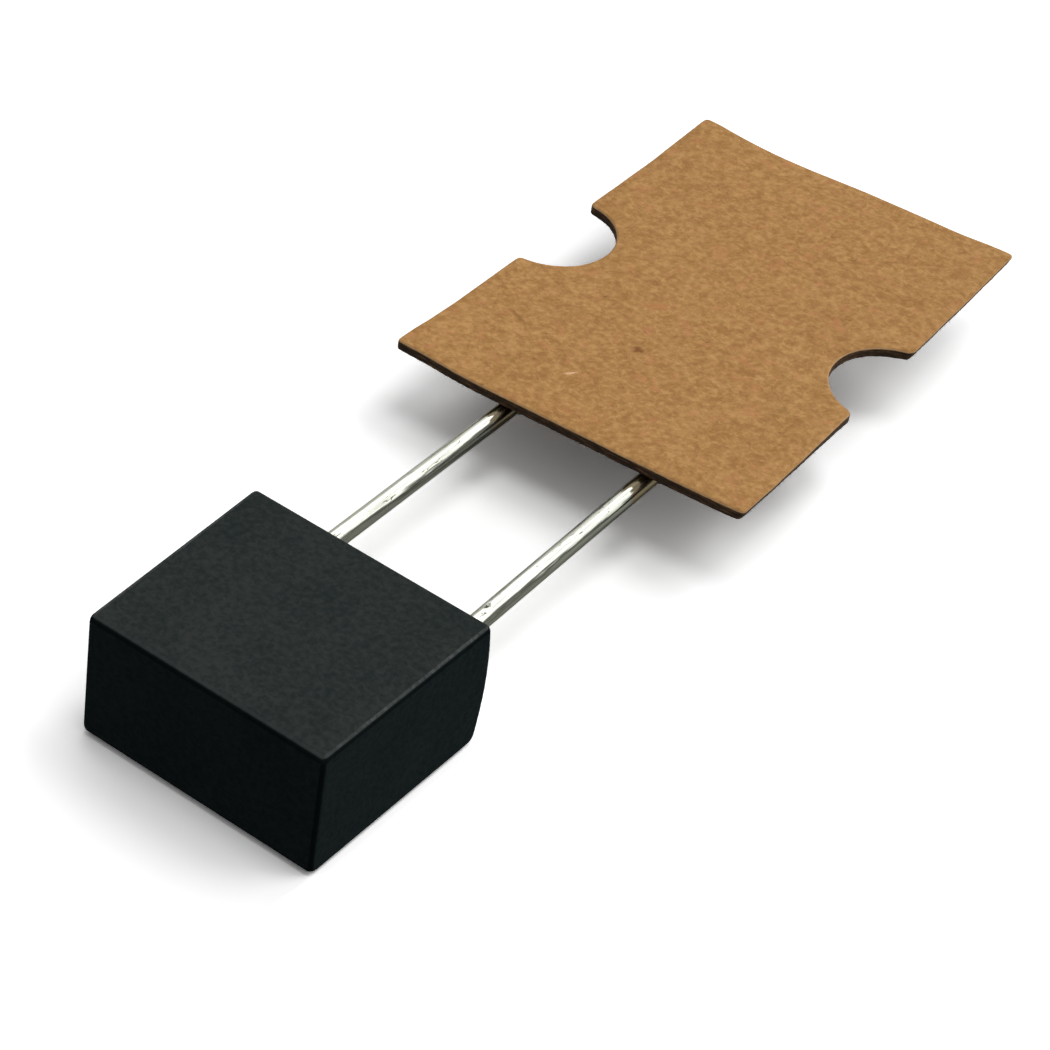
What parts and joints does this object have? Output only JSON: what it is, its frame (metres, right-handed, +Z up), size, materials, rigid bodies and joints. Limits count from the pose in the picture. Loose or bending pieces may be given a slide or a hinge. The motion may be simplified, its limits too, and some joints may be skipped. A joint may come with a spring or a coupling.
{
  "type": "subminiature fuse",
  "caption": "Small square black wire-ended fuse lying flat, its two round leads still held on one pitch of notched kraft card carrier tape.",
  "frame": {"origin": "middle of the case's flat lower face, the large face it lies on", "axes": "+X across the two leads, +Y along the leads from the case to the card, +Z up out of the large face"},
  "size_m": [0.0126, 0.0355, 0.0043],
  "materials": {
    "black_plastic": "fine matte moulded grain",
    "tinned_wire": "bright tin with drawing marks",
    "glass_fibre": "white fibre rod",
    "fuse_wire": "fine drawn copper alloy wire",
    "solder": "dull tin solder",
    "kraft_card": "mottled brown kraft with short fibres",
    "adhesive_tape": "smooth paper strip"
  },
  "bodies": {
    "root": {"case": "black_plastic", "base": "black_plastic", "lead_left": "tinned_wire", "lead_right": "tinned_wire", "element_core": "glass_fibre", "element_winding": "fuse_wire", "solder_left": "solder", "solder_right": "solder", "carrier_card": "kraft_card", "hold_down_tape": "adhesive_tape"}
  },
  "joints": []
}
